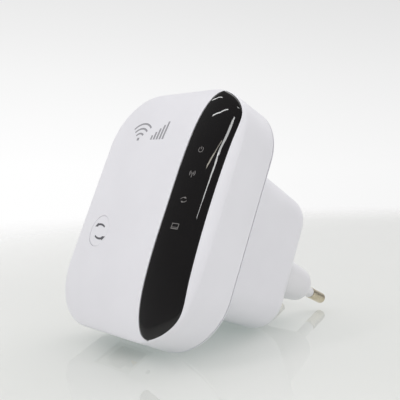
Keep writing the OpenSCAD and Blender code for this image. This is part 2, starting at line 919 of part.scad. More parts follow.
// electrolytic can: crimped near its foot, standing on the board
module can(x, z, r, h) {
    translate([x, power_front, z]) rotate([90, 0, 0]) rotate_extrude() difference() {
        square([r, h]);
        translate([r + crimp_out, crimp_z]) circle(crimp_r);
    }
}

module mains_capacitors() {
    color("#23304f") for (i = [0, 1]) can(can_x + i * can_pitch, can_z, can_r, can_h);
}

module output_capacitor() {
    color("#23304f") can(output_x, output_z, output_r, output_h);
}

// drum core with a groove for its coil
module filter_choke() {
    color("#38393c") translate([choke_x, power_front, can_z]) rotate([90, 0, 0]) rotate_extrude()
        difference() {
            square([choke_r, choke_h]);
            translate([choke_r, choke_h / 2])
                square([2 * choke_groove_d, choke_groove], center = true);
        }
}

module fuse() {
    color("#4f8a6d") translate([fuse_x, fuse_y, fuse_z]) cylinder(r = fuse_r, h = fuse_l);
    color(steel) for (end = [fuse_end, fuse_l - fuse_end])
        rod(fuse_x, fuse_z + end, wire_r, fuse_y, power_front);
}

// small package on the power board's front
module power_package(x, size, legs, pitch, foot) {
    translate([0, power_front + board_back, 0]) mirror([0, 1, 0])
        package(x, pin_z, size, legs, pitch, foot);
}

module bridge_rectifier() {
    power_package(0, rectifier_size, 2, disc_wire, rectifier_foot);
}

module safety_capacitor() {
    color("#3f7fb5") translate([disc_x, disc_y, disc_z]) cylinder(r = disc_r, h = disc_t);
    color(steel) for (side = [-1, 1])
        rod(disc_x + side * disc_wire, disc_z + disc_t / 2, wire_r, disc_y, power_front);
}

module controller_chip() {
    power_package(controller_x, controller_size, 3, leg_pitch, controller_foot);
}

module power_screws() {
    color(steel) at_power_posts() mirror([0, 1, 0]) screw(-power_front);
}

as_it_rests() front_shell();
as_it_rests() rear_cover();
as_it_rests() indicator_strip();
as_it_rests() push_button();
as_it_rests() plug_nose();
as_it_rests() pin_left();
as_it_rests() pin_right();
as_it_rests() sleeve_left();
as_it_rests() sleeve_right();
as_it_rests() main_board();
as_it_rests() rf_shield();
as_it_rests() radio_chip();
as_it_rests() memory_chip();
as_it_rests() crystal();
as_it_rests() lan_transformer();
as_it_rests() ethernet_jack();
as_it_rests() jack_contacts();
as_it_rests() status_leds();
as_it_rests() light_guide();
as_it_rests() button_switch();
as_it_rests() switch_plunger();
as_it_rests() reset_switch();
as_it_rests() reset_plunger();
as_it_rests() antenna_left();
as_it_rests() antenna_right();
as_it_rests() dc_connector();
as_it_rests() dc_lead();
as_it_rests() board_screws();
as_it_rests() power_board();
as_it_rests() transformer_core();
as_it_rests() transformer_winding();
as_it_rests() mains_capacitors();
as_it_rests() output_capacitor();
as_it_rests() filter_choke();
as_it_rests() fuse();
as_it_rests() bridge_rectifier();
as_it_rests() safety_capacitor();
as_it_rests() controller_chip();
as_it_rests() power_screws();
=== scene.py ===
"""Looks of a plug-in wireless range extender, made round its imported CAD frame.

Shapes are worked out upright, in millimetres: x to the right, y = 0 at the body's back plane,
the front towards -y, the plug towards +y, z = 0 at the body's bottom. rest() then leans them
back as the part lies on the table, in metres. The table and the lamps are given in metres.
"""
import json
import math

import bmesh
import bpy
import numpy as np
from mathutils import Matrix, Vector


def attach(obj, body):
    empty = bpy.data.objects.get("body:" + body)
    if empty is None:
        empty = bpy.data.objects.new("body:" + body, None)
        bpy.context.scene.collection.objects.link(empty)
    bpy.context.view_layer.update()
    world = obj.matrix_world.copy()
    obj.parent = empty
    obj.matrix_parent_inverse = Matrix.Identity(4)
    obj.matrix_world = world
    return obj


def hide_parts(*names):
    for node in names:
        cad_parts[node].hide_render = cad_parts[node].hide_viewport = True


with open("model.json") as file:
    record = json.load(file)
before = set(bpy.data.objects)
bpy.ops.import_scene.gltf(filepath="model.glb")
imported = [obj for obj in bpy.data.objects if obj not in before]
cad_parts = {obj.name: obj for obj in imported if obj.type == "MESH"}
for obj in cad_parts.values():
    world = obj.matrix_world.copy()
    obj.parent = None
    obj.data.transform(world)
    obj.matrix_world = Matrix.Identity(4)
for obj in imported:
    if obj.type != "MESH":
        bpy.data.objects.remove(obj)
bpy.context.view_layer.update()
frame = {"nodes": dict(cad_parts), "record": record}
nodes = frame["nodes"]

# body
BODY_W, BODY_H = 60.0, 78.0
SIDE_DEPTH, DOME = 13.5, 5.5
CORNER_R, WALL, PLATE_T = 18.0, 2.0, 2.0
HALF_W, HALF_H = BODY_W / 2, BODY_H / 2
FIT_GAP = 0.15

# rim at the body's back: its rounding at the bottom, its rounding above, and the two heights
# between which the one becomes the other; then the groove in front of it
RIM_R, RIM_SIDE_R, RIM_TURN = 1.2, 0.4, (2.0, 16.0)
SEAM_W, SEAM_DEPTH = 0.36, 0.5

# plug housing, nose and pins
HOUSING_W, HOUSING_H, HOUSING_DEPTH = 46.0, 49.6, 37.0
HOUSING_Z, HOUSING_R, HOUSING_EDGE_R = 38.2, 10.0, 5.5
HOUSING_DRAW, HOUSING_WALL, HOUSING_FILLET = 1.85, 2.0, 0.8
HOUSING_ROOT = 1.2
NOSE_W, NOSE_H, NOSE_LENGTH, NOSE_END_R = 37.0, 13.7, 18.0, 5.0
NOSE_DRAW, NOSE_FLANGE, NOSE_FLANGE_T = 0.8, 2.0, 2.0
NOSE_HOLE_REACH, HAIR = 6.0, 0.001
PIN_Z, PIN_SPACING, PIN_R, PIN_CORE_R, PIN_LENGTH = 35.6, 19.0, 2.0, 1.5, 17.0
PIN_ROOT, PIN_STEP_GAP = 27.8, 0.01
SLEEVE_R, SLEEVE_LENGTH, SLEEVE_SEAT, SLEEVE_GAP = 1.85, 8.5, 3.0, 0.02
PLUG_BREAK = 0.1
NOSE_TIP = HOUSING_DEPTH + NOSE_LENGTH
PIN_TIP = NOSE_TIP + PIN_LENGTH
SLEEVE_END = NOSE_TIP + SLEEVE_LENGTH

# indicator strip
STRIP_W, STRIP_MARGIN, STRIP_EDGE, STRIP_FLARE = 14.0, 3.0, 0.5, 2.5
STRIP_SWEEP, STRIP_SWEEP_LEN, STRIP_SWEEP_POWER = 4.5, 18.0, 2.5
STRIP_T, STRIP_CROWN, STRIP_BED = 1.2, 0.4, 0.1
STRIP_BLEND, STRIP_TIP_W, STRIP_ROUND = 1.1, 0.2, 0.35
STRIP_RIGHT = HALF_W - STRIP_MARGIN
STRIP_LEFT = STRIP_RIGHT - STRIP_W
STRIP_LOW = STRIP_EDGE + 1
STRIP_HIGH = BODY_H - STRIP_LOW

# push button
BUTTON_X, BUTTON_Z, BUTTON_R = -14.5, 28.7, 4.98
BUTTON_ROUND, BUTTON_MIDDLE = 0.3, 0.2
FLANGE_R, FLANGE_T, STEM_R = 6.05, 1.0, 1.5
FLANGE_FRONT, STEM_END = -14.43, -12.2

# cut-outs of the front shell; a span is how far a cutter reaches across the wall
POCKET_OPEN = 2.0
BUTTON_HOLE_R, BUTTON_HOLE_SPAN = 5.05, (-22.0, -12.0)
JACK_W, JACK_FRONT, JACK_BACK, JACK_SPAN = 16.0, -12.8, -2.2, (-1.0, 4.0)
RESET_X, RESET_Y, RESET_R, RESET_SPAN = 13.5, -9.8, 0.8, (-1.0, 3.0)
VENT_COUNT, VENT_PITCH, VENT_W = 9, 2.4, 1.2
VENT_FRONT, VENT_BACK, VENT_SPAN = -11.0, -4.5, (BODY_H - 4, BODY_H + 2)

# how the part lies: on the rounded edges of the body's back and of the housing's lower rear
EDGE_Y = HOUSING_DEPTH - HOUSING_EDGE_R
EDGE_INSET = HOUSING_DRAW * EDGE_Y / HOUSING_DEPTH
EDGE_Z = HOUSING_Z - HOUSING_H / 2 + EDGE_INSET + HOUSING_EDGE_R
LEAN = (math.atan2(EDGE_Z - RIM_R, EDGE_Y + RIM_R)
        - math.asin((HOUSING_EDGE_R - RIM_R) / math.hypot(EDGE_Y + RIM_R, EDGE_Z - RIM_R)))
LEAN_C, LEAN_S = math.cos(LEAN), math.sin(LEAN)
REST_Z = RIM_R * (LEAN_S + LEAN_C - 1)
TIP_ROUND = PIN_R / 2
REAR_REACH = (LEAN_C * (PIN_TIP - TIP_ROUND) + LEAN_S * (PIN_Z + PIN_R - TIP_ROUND)
              + TIP_ROUND)
DOME_TURN = np.radians(np.linspace(0, 90, 11))
FRONT_REACH = float(np.min(-LEAN_C * (SIDE_DEPTH + DOME * np.sin(DOME_TURN))
                           + LEAN_S * HALF_H * (1 - np.cos(DOME_TURN))))
Y_MID = (FRONT_REACH + REAR_REACH) / 2
MM = 0.001

# fineness: steps along and round the shapes, and the angle at which shading breaks, in degrees
SHARP, STRIP_SHARP = 35, 50
DOME_RINGS, SIDE_LEVELS, INNER_LEVELS = 40, (-10.0, -7.0, -4.0, -2.0), (0.0, -4.0, -8.0)
HOUSING_STEPS, HOUSING_EDGE_STEPS, REAR_SHARES = 6, 16, (0.98, 0.6, 0.2)
BUTTON_STEPS, CAP_RINGS, RESET_STEPS = 96, 12, 32
POCKET_STEPS = {"rows": 90, "cols": 10}


# shapes
def rest(points):
    """Upright millimetres to the resting frame in metres: a lean about x, then a shift."""
    p = np.asarray(points, float)
    x, y, z = p[..., 0], p[..., 1], p[..., 2]
    return np.stack([x, LEAN_C * y + LEAN_S * z - Y_MID,
                     LEAN_C * z - LEAN_S * y - REST_Z], -1) * MM


def quarter(steps, start=0, end=90):
    """Angles of a quarter turn, or of a part of it given in degrees, evenly divided."""
    return np.radians(np.linspace(start, end, steps + 1))


def outline(w, h, r, arc=24, side=14):
    """Rounded rectangle about the middle: four arcs joined by evenly divided straight sides."""
    turn = quarter(arc)
    corner = np.stack([np.cos(turn), np.sin(turn)], -1) * r
    parts = []
    for i, (sx, sz) in enumerate(((1, 1), (-1, 1), (-1, -1), (1, -1))):
        c, s = math.cos(i * math.pi / 2), math.sin(i * math.pi / 2)
        parts.append(corner @ np.array([[c, s], [-s, c]])
                     + [sx * (w / 2 - r), sz * (h / 2 - r)])
    t = np.linspace(0, 1, side + 1)[1:-1, None]
    loop = []
    for i in range(4):
        start, end = parts[i][-1], parts[(i + 1) % 4][0]
        loop += [parts[i], start + (end - start) * t]
    return np.concatenate(loop)


def ring(w, h, r, y, z, k=1.0, **steps):
    """The outline at a depth y, drawn in to a share k of its size about the height z."""
    p = outline(w, h, r, **steps) * k
    return np.stack([p[:, 0], np.full(len(p), y), z + p[:, 1]], -1)


def share(x, z, a=HALF_W, b=HALF_H, r=CORNER_R):
    """Share k at which a rounded rectangle of half sizes a and b, scaled by k, passes through
    (x, z): the larger of x / a and z / b, or at a corner the root of the circle's quadratic."""
    px, pz = np.abs(x), np.abs(z)
    p, q = a - r, b - r
    flat = np.maximum(px / a, pz / b)
    along, square = px * p + pz * q, px * px + pz * pz
    root = np.sqrt(np.maximum(along**2 - (p * p + q * q - r * r) * square, 0))
    corner = square / np.maximum(along + root, 1e-9)
    return np.where((px > flat * p) & (pz > flat * q), corner, flat)


def front_y(x, z):
    """The pillow front: straight sides plus a quarter ellipse over the share k."""
    k = np.minimum(1, share(x, z - HALF_H))
    return -SIDE_DEPTH - DOME * np.sqrt(1 - k * k)


def strip_inner(z):
    """The strip's inner edge: straight, with a quarter of a superellipse outward at both ends."""
    from_end = np.minimum(z - STRIP_LOW, STRIP_HIGH - z)
    t = np.clip(1 - from_end / STRIP_SWEEP_LEN, 0, 1)
    return STRIP_LEFT + STRIP_SWEEP * (1 - (1 - t**STRIP_SWEEP_POWER) ** (1 / STRIP_SWEEP_POWER))


def strip_outer(z):
    """The strip's outer edge: a parabola that flares towards both ends, run smoothly into an arc
    along the body's corner by a soft minimum."""
    rise = np.maximum(0, CORNER_R - np.minimum(z, BODY_H - z))
    arc = HALF_W - CORNER_R + np.sqrt(np.maximum(0, (CORNER_R - STRIP_EDGE) ** 2 - rise**2))
    flare = STRIP_RIGHT + STRIP_FLARE * ((z - HALF_H) / HALF_H) ** 2
    low, high = np.minimum(flare, arc), np.maximum(flare, arc)
    return low - STRIP_BLEND * np.log1p(np.exp((low - high) / STRIP_BLEND))


def strip_top(x, z):
    """Depth of the strip's crowned face: the pillow front less a parabola across the strip."""
    left, right = strip_inner(z), strip_outer(z)
    u = np.clip((x - left) / np.maximum(right - left, STRIP_TIP_W), 0, 1)
    return front_y(x, z) - STRIP_CROWN * (1 - (2 * u - 1) ** 2)


def turned(x, z, profile, steps=64):
    """Rings round an axis along y at (x, z), from pairs of radius and depth."""
    profile = np.asarray(profile, float)
    a = np.linspace(0, 2 * math.pi, steps, endpoint=False)
    r, y = profile[:, :1], profile[:, 1:]
    return np.stack([x + r * np.cos(a), y + 0 * a, z + r * np.sin(a)], -1)


def arc_points(cx, cy, r, start, end, steps):
    """Points on an arc in degrees, as pairs."""
    a = np.radians(np.linspace(start, end, steps))
    return np.stack([cx + r * np.cos(a), cy + r * np.sin(a)], -1)


def line(a, b, steps=6):
    """Evenly spaced points from a to b."""
    return np.linspace(a, b, steps)


def upright(loop, span):
    """Two rings of a column: a loop of (x, y) pairs at the two heights of a span."""
    return np.stack([np.column_stack([loop, np.full(len(loop), z)]) for z in span])


def block(x, y, span):
    """Two rings of a box between pairs of limits."""
    return upright(np.array([[x[0], y[0]], [x[1], y[0]], [x[1], y[1]], [x[0], y[1]]]), span)


# meshes
def quads(rows, cols):
    """Corner numbers of the quads of a grid that is closed round its columns."""
    i, j = np.arange(rows - 1)[:, None], np.arange(cols)[None, :]
    k = (j + 1) % cols
    return np.stack([i * cols + j, i * cols + k, (i + 1) * cols + k, (i + 1) * cols + j],
                    -1).reshape(-1, 4)


def skin(grid):
    """Points and faces of a closed skin over rings, with a point in the middle of both ends."""
    rows, cols = grid.shape[:2]
    points = np.concatenate([grid.reshape(-1, 3), [grid[0].mean(0)], [grid[-1].mean(0)]])
    j = np.arange(cols)
    k = (j + 1) % cols
    first = np.stack([np.full(cols, rows * cols), k, j], -1)
    last = np.stack([np.full(cols, rows * cols + 1), (rows - 1) * cols + j,
                     (rows - 1) * cols + k], -1)
    return points, [quads(rows, cols), first, last]


def place_in_scene(name, data):
    """An object at the origin that carries a mesh, a camera or a lamp."""
    obj = bpy.data.objects.new(name, data)
    bpy.context.scene.collection.objects.link(obj)
    return obj


def smooth(mesh, sharp):
    """Smooth shading, broken at edges sharper than an angle in degrees."""
    mesh.polygons.foreach_set("use_smooth", np.ones(len(mesh.polygons), bool))
    mesh.set_sharp_from_angle(angle=math.radians(sharp))
    mesh.update()


def piece(name, grids, sharp=SHARP):
    """A mesh object from one or more closed skins, its faces outward, smooth under an angle."""
    points, faces, base = [], [], 0
    for grid in grids:
        p, parts = skin(grid)
        points.append(rest(p))
        for part in parts:
            faces += (part + base).tolist()
        base += len(p)
    mesh = bpy.data.meshes.new(name)
    mesh.from_pydata(np.concatenate(points).tolist(), [], faces)
    work = bmesh.new()
    work.from_mesh(mesh)
    bmesh.ops.recalc_face_normals(work, faces=work.faces)
    work.to_mesh(mesh)
    work.free()
    obj = place_in_scene(name, mesh)
    smooth(mesh, sharp)
    return obj


def cut_away(obj, cutter, sharp=SHARP):
    """Takes the cutter's space out of a piece and drops the cutter."""
    cut = obj.modifiers.new("cut", "BOOLEAN")
    cut.operation, cut.solver, cut.object = "DIFFERENCE", "EXACT", cutter
    bpy.context.view_layer.update()
    seen = obj.evaluated_get(bpy.context.evaluated_depsgraph_get())
    done = bpy.data.meshes.new_from_object(seen)
    obj.modifiers.clear()
    old, obj.data = obj.data, done
    bpy.data.meshes.remove(old)
    bpy.data.objects.remove(cutter)
    smooth(done, sharp)


def dress(obj, body, slot, finish, *replaced):
    """Gives a piece its finish and its CAD body, and hides the nodes it stands for; the record slot
    it is handed is not used.
    """
    obj.data.materials.clear()
    obj.data.materials.append(finish.material)
    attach(obj, body)
    if replaced:
        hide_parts(*replaced)


# finishes
def linear(*rgb):
    """sRGB values from 0 to 255 as a linear colour."""
    c = np.array(rgb, float) / 255
    return (*np.where(c <= 0.04045, c / 12.92, ((c + 0.055) / 1.055) ** 2.4), 1.0)


class Finish:
    """A node material round one Principled shader, with its pattern on Object coordinates."""

    def __init__(self, name):
        """Starts from a new material's own shader, with a Texture Coordinate node beside it."""
        self.material = bpy.data.materials.new(name)
        self.material.use_nodes = True
        self.tree = self.material.node_tree
        self.shader = self.tree.nodes["Principled BSDF"]
        self.surface = self.shader.outputs["BSDF"]
        self.place = self.add("ShaderNodeTexCoord")

    def add(self, kind, **values):
        """A new node with some of its settings."""
        node = self.tree.nodes.new(kind)
        for key, value in values.items():
            setattr(node, key, value)
        return node

    def link(self, source, target):
        """Joins an output to an input."""
        self.tree.links.new(source, target)

    def set(self, **sockets):
        """Sets sockets of the shader itself, a low line standing for a blank in their names."""
        for key, value in sockets.items():
            self.shader.inputs[key.replace("_", " ")].default_value = value
        return self

    def noise(self, scale, detail=3.0, rough=0.5):
        """Cloudy noise from 0 to 1, a scale of so many features to the metre."""
        node = self.add("ShaderNodeTexNoise")
        node.inputs["Scale"].default_value = scale
        node.inputs["Detail"].default_value = detail
        node.inputs["Roughness"].default_value = rough
        self.link(self.place.outputs["Object"], node.inputs["Vector"])
        return node.outputs["Fac"]

    def ramp(self, source, low, high, start=0.35, end=0.65):
        """A colour that runs from low to high as the source goes from start to end."""
        node = self.add("ShaderNodeValToRGB")
        node.color_ramp.elements[0].position = start
        node.color_ramp.elements[1].position = end
        node.color_ramp.elements[0].color = low
        node.color_ramp.elements[1].color = high
        self.link(source, node.inputs["Fac"])
        return node.outputs["Color"]

    def spread(self, source, low, high):
        """A number that runs from low to high as the source goes from 0 to 1."""
        node = self.add("ShaderNodeMapRange")
        node.inputs["To Min"].default_value = low
        node.inputs["To Max"].default_value = high
        self.link(source, node.inputs["Value"])
        return node.outputs["Result"]

    def bump(self, source, depth, strength=0.3):
        """Raises the surface by a depth in metres where the source is high."""
        node = self.add("ShaderNodeBump")
        node.inputs["Strength"].default_value = strength
        node.inputs["Distance"].default_value = depth
        self.link(source, node.inputs["Height"])
        self.link(node.outputs["Normal"], self.shader.inputs["Normal"])

    def clear_gloss(self, tint, rough, ior):
        """Makes the surface a clear sheet: a tinted see-through shader under a Fresnel gloss,
        which its upper side alone has."""
        self.tree.nodes.remove(self.shader)
        fresnel = self.add("ShaderNodeFresnel")
        fresnel.inputs["IOR"].default_value = ior
        under = self.add("ShaderNodeBsdfTransparent")
        under.inputs["Color"].default_value = tint
        gloss = self.add("ShaderNodeBsdfGlossy")
        gloss.inputs["Roughness"].default_value = rough
        mix = self.add("ShaderNodeMixShader")
        above = self.add("ShaderNodeMath", operation="SUBTRACT", use_clamp=True)
        self.link(fresnel.outputs["Fac"], above.inputs[0])
        self.link(self.add("ShaderNodeNewGeometry").outputs["Backfacing"], above.inputs[1])
        self.link(above.outputs["Value"], mix.inputs["Fac"])
        self.link(under.outputs["BSDF"], mix.inputs[1])
        self.link(gloss.outputs["BSDF"], mix.inputs[2])
        self.surface = mix.outputs["Shader"]

    def fade(self, centre, start, end):
        """Fades the surface out between two distances from a centre."""
        away = self.add("ShaderNodeVectorMath", operation="DISTANCE")
        away.inputs[1].default_value = centre
        self.link(self.place.outputs["Object"], away.inputs[0])
        gone = self.add("ShaderNodeMapRange", interpolation_type="SMOOTHSTEP")
        gone.inputs["From Min"].default_value = start
        gone.inputs["From Max"].default_value = end
        self.link(away.outputs["Value"], gone.inputs["Value"])
        mix = self.add("ShaderNodeMixShader")
        clear = self.add("ShaderNodeBsdfTransparent")
        self.link(gone.outputs["Result"], mix.inputs["Fac"])
        self.link(self.surface, mix.inputs[1])
        self.link(clear.outputs["BSDF"], mix.inputs[2])
        self.link(mix.outputs["Shader"], self.tree.nodes["Material Output"].inputs["Surface"])


def moulded(name, colour, tint, rough, grain=900.0, depth=0.00001, patches=60.0):
    """Moulded plastic: a slow drift of tone, a gloss that varies a little, a fine skin."""
    f = Finish(name)
    f.link(f.ramp(f.noise(patches), colour, tint), f.shader.inputs["Base Color"])
    f.link(f.spread(f.noise(patches * 4, 4.0), *rough), f.shader.inputs["Roughness"])
    f.bump(f.noise(grain, 2.0), depth)
    return f


def metal(name, colour, tint, rough, grain=1500.0, depth=0.000005, patches=400.0):
    """Metal: a drift of tone and polish with fine drawing marks."""
    return moulded(name, colour, tint, rough, grain, depth, patches).set(Metallic=1.0)


def printed(name, colour, tint):
    """Ink: matter than the moulding under it, with a fine grain."""
    return moulded(name, colour, tint, (0.35, 0.5), 3000.0)


white = moulded("white_gloss_moulding", linear(228, 227, 232), linear(231, 230, 235),
                (0.38, 0.48)).set(IOR=1.5)
plug_white = moulded("white_plug_moulding", linear(222, 221, 224), linear(226, 225, 228),
                     (0.3, 0.42), 1400.0, 0.00002)
black = moulded("black_gloss_strip", linear(12, 10, 11), linear(15, 13, 14),
                (0.012, 0.025), 700.0, 0.000002, 80.0).set(IOR=1.49)
print_grey = printed("grey_print", linear(150, 149, 154), linear(166, 165, 170))
print_dark = printed("dark_print", linear(88, 88, 94), linear(104, 104, 110))
icon_grey = printed("icon_print", linear(108, 105, 105), linear(122, 119, 118))
pin_metal = metal("plated_pin", linear(200, 190, 167), linear(210, 200, 178), (0.2, 0.32))


# front shell: one skin over the dome, the sides, the rim at the back and the inside
def body_ring(off, y):
    """Ring of the body's outline at a depth y, drawn in by an offset all round."""
    return ring(BODY_W - 2 * off, BODY_H - 2 * off, CORNER_R - off, y, HALF_H)


def dome_rings(off):
    """Rings of the pillow with a wall taken off, from near the middle out to the sides."""
    w, h, r = BODY_W - 2 * off, BODY_H - 2 * off, CORNER_R - off
    return [ring(w, h, r, off - SIDE_DEPTH - DOME * math.sin(a), HALF_H, math.cos(a))
            for a in quarter(DOME_RINGS, 90, 0)[1:]]


def rim(r):
    """Rings of the rim at the back with a rounding r: a seam groove, then a quarter circle."""
    turn = quarter(8)
    seam = [(0.0, -r - SEAM_W), (SEAM_DEPTH, -r - SEAM_W), (SEAM_DEPTH, -r), (0.0, -r)]
    curve = [*seam, *zip(r * (1 - np.cos(turn)), r * (np.sin(turn) - 1))]
    return np.stack([body_ring(off, y) for off, y in curve])


# the rounding is full at the bottom, where the part rests, and smaller round the rest
lower = np.clip((RIM_TURN[1] - rim(RIM_R)[..., 2:]) / (RIM_TURN[1] - RIM_TURN[0]), 0, 1)
rim_rings = list(rim(RIM_SIDE_R) + (rim(RIM_R) - rim(RIM_SIDE_R)) * lower)
shell_rings = (dome_rings(0) + [body_ring(0, y) for y in SIDE_LEVELS] + rim_rings
               + [body_ring(WALL, y) for y in INNER_LEVELS] + dome_rings(WALL)[::-1])
front_shell = piece("front_shell_skin", [np.stack(shell_rings)])


def strip_loops(grow, top_lift, crowned, depth, rounding=0.0, rows=120, cols=40):
    """Closed loops across the strip, from its low tip to its high one: the face over the pillow
    front, rounded down by a quarter circle near its edge, and the back under it."""
    middle, reach = (STRIP_LOW + STRIP_HIGH) / 2, (STRIP_HIGH - STRIP_LOW) / 2 + grow
    z = middle - reach * np.cos(np.linspace(0, math.pi, rows + 1))
    held = np.clip(z, STRIP_LOW, STRIP_HIGH)
    left = strip_inner(held) - grow
    right = np.maximum(strip_outer(held) + grow, left + STRIP_TIP_W)
    u = (1 - np.cos(np.linspace(0, math.pi, cols + 1))) / 2
    x = left[:, None] + (right - left)[:, None] * u
    zz = np.broadcast_to(z[:, None], x.shape)
    under = front_y(x, zz)
    top = under - top_lift - crowned * (1 - (2 * u - 1) ** 2)
    if rounding:
        slope_l, slope_r = np.gradient(left, z)[:, None], np.gradient(right, z)[:, None]
        edge = np.minimum((x - left[:, None]) / np.sqrt(1 + slope_l**2),
                          (right[:, None] - x) / np.sqrt(1 + slope_r**2))
        short = np.clip(1 - edge / rounding, 0, 1)
        top = top + rounding * (1 - np.sqrt(1 - short**2))
    face = np.stack([x, top, zz], -1)
    back = np.stack([x, under + depth, zz], -1)[:, ::-1]
    return np.concatenate([face, back], 1)


strip_pocket = strip_loops(FIT_GAP, POCKET_OPEN, 0.0, STRIP_T, **POCKET_STEPS)
button_hole = turned(BUTTON_X, BUTTON_Z, [(BUTTON_HOLE_R, y) for y in BUTTON_HOLE_SPAN],
                     BUTTON_STEPS)
jack_opening = block((-JACK_W / 2 - FIT_GAP, JACK_W / 2 + FIT_GAP),
                     (JACK_FRONT - FIT_GAP, JACK_BACK + FIT_GAP), JACK_SPAN)
vent_x = (np.arange(VENT_COUNT) - (VENT_COUNT - 1) / 2) * VENT_PITCH
vents = [block((x - VENT_W / 2, x + VENT_W / 2), (VENT_FRONT, VENT_BACK), VENT_SPAN)
         for x in vent_x]
reset_hole = upright(arc_points(RESET_X, RESET_Y, RESET_R, 0, 360, RESET_STEPS + 1)[:-1],
                     RESET_SPAN)
cut_away(front_shell, piece("cutters", [strip_pocket, button_hole, jack_opening, *vents,
                                        reset_hole]))
dress(front_shell, "casing", "shell_white", white, "front_shell")

# indicator strip
strip = strip_loops(0.0, 0.0, STRIP_CROWN, STRIP_T - STRIP_BED, STRIP_ROUND)
dress(piece("indicator_strip_skin", [strip], STRIP_SHARP), "casing", "strip_black", black,
      "indicator_strip")

# rear cover: one skin over the inside of the housing, the plate, and the outside of the housing
PLATE_OFF = WALL + FIT_GAP
PLATE_BREAK, PLATE_BREAK_DEPTH = 0.15, 0.2


def housing_rings(thin, start):
    """Rings of the housing with a wall taken off: drafted sides, the arc round the rear edge, and
    the rear face drawn in to its middle."""
    r = HOUSING_EDGE_R - thin
    rings = []
    for y in np.linspace(start, EDGE_Y, HOUSING_STEPS + 1)[:-1]:
        inset = thin + HOUSING_DRAW * y / HOUSING_DEPTH
        rings.append(ring(HOUSING_W - 2 * inset, HOUSING_H - 2 * inset, HOUSING_R - thin, y,
                          HOUSING_Z))
    for a in quarter(HOUSING_EDGE_STEPS):
        inset = thin + EDGE_INSET + r * (1 - math.cos(a))
        rings.append(ring(HOUSING_W - 2 * inset, HOUSING_H - 2 * inset,
                          HOUSING_R - inset + EDGE_INSET, EDGE_Y + r * math.sin(a), HOUSING_Z))
    x, y, z = rings[-1].T
    rings += [np.stack([x * k, y, HOUSING_Z + k * (z - HOUSING_Z)], -1) for k in REAR_SHARES]
    return rings


def fillet_ring(a):
    """Ring of the fillet at the housing's root, at an angle of its hollow quarter circle."""
    out = HOUSING_FILLET * (1 - math.sin(a))
    return ring(HOUSING_W + 2 * out, HOUSING_H + 2 * out, HOUSING_R + out,
                HOUSING_FILLET * (1 - math.cos(a)), HOUSING_Z)


def oblong(r, y):
    """Ring of an oblong with round ends, its half height r, at a depth y; its corners are rounded
    a hair less than r, so that no two points meet."""
    return ring(NOSE_W - NOSE_H + 2 * r, 2 * r, r - HAIR, y, PIN_Z, arc=24, side=6)


cover_rings = (housing_rings(HOUSING_WALL, -PLATE_T)[::-1]
               + [body_ring(PLATE_OFF, y) for y in (-PLATE_T, -PLATE_BREAK_DEPTH)]
               + [body_ring(PLATE_OFF + PLATE_BREAK, 0.0)]
               + [fillet_ring(a) for a in quarter(4, 0, 80)]
               + housing_rings(0.0, HOUSING_ROOT))
nose_r = NOSE_H / 2
nose_hole = np.stack([oblong(nose_r + FIT_GAP, HOUSING_DEPTH + reach)
                      for reach in (-NOSE_HOLE_REACH, NOSE_HOLE_REACH)])
rear_cover = piece("rear_cover_skin", [np.stack(cover_rings)])
cut_away(rear_cover, piece("nose_hole", [nose_hole]))
dress(rear_cover, "casing", "shell_white", white, "rear_cover")

# push button: cap flush with the pillow, skirt, keeper flange and stem
cap_turn = quarter(5, 15, 90)
cap_r = np.concatenate([np.linspace(BUTTON_MIDDLE, BUTTON_R - BUTTON_ROUND, CAP_RINGS),
                        BUTTON_R - BUTTON_ROUND * (1 - np.sin(cap_turn))])
cap_drop = np.concatenate([np.zeros(CAP_RINGS), BUTTON_ROUND * (1 - np.cos(cap_turn))])
cap = turned(BUTTON_X, BUTTON_Z, np.stack([cap_r, cap_drop], -1), BUTTON_STEPS)
cap[..., 1] += front_y(cap[..., 0], cap[..., 2])
skirt = turned(BUTTON_X, BUTTON_Z,
               [(BUTTON_R, FLANGE_FRONT), (FLANGE_R, FLANGE_FRONT),
                (FLANGE_R, FLANGE_FRONT + FLANGE_T), (STEM_R, FLANGE_FRONT + FLANGE_T),
                (STEM_R, STEM_END)], BUTTON_STEPS)
dress(piece("push_button_cap", [np.concatenate([cap, skirt])]), "push_button", "shell_white",
      white, "push_button")

# plug: oblong nose with a flange inside and a rounded end, sleeves and pins
nose_back = HOUSING_DEPTH - HOUSING_WALL
nose_end = nose_r - NOSE_DRAW
nose_rings = [oblong(nose_r + NOSE_FLANGE, y) for y in (nose_back - NOSE_FLANGE_T, nose_back)]
nose_rings += [oblong(nose_r, y) for y in (nose_back, HOUSING_DEPTH)]
nose_rings += [oblong(nose_end - NOSE_END_R * (1 - math.cos(a)),
                      NOSE_TIP - NOSE_END_R * (1 - math.sin(a))) for a in quarter(18)]
dress(piece("plug_nose_skin", [np.stack(nose_rings)]), "casing", "plug_white", plug_white,
      "plug_nose")

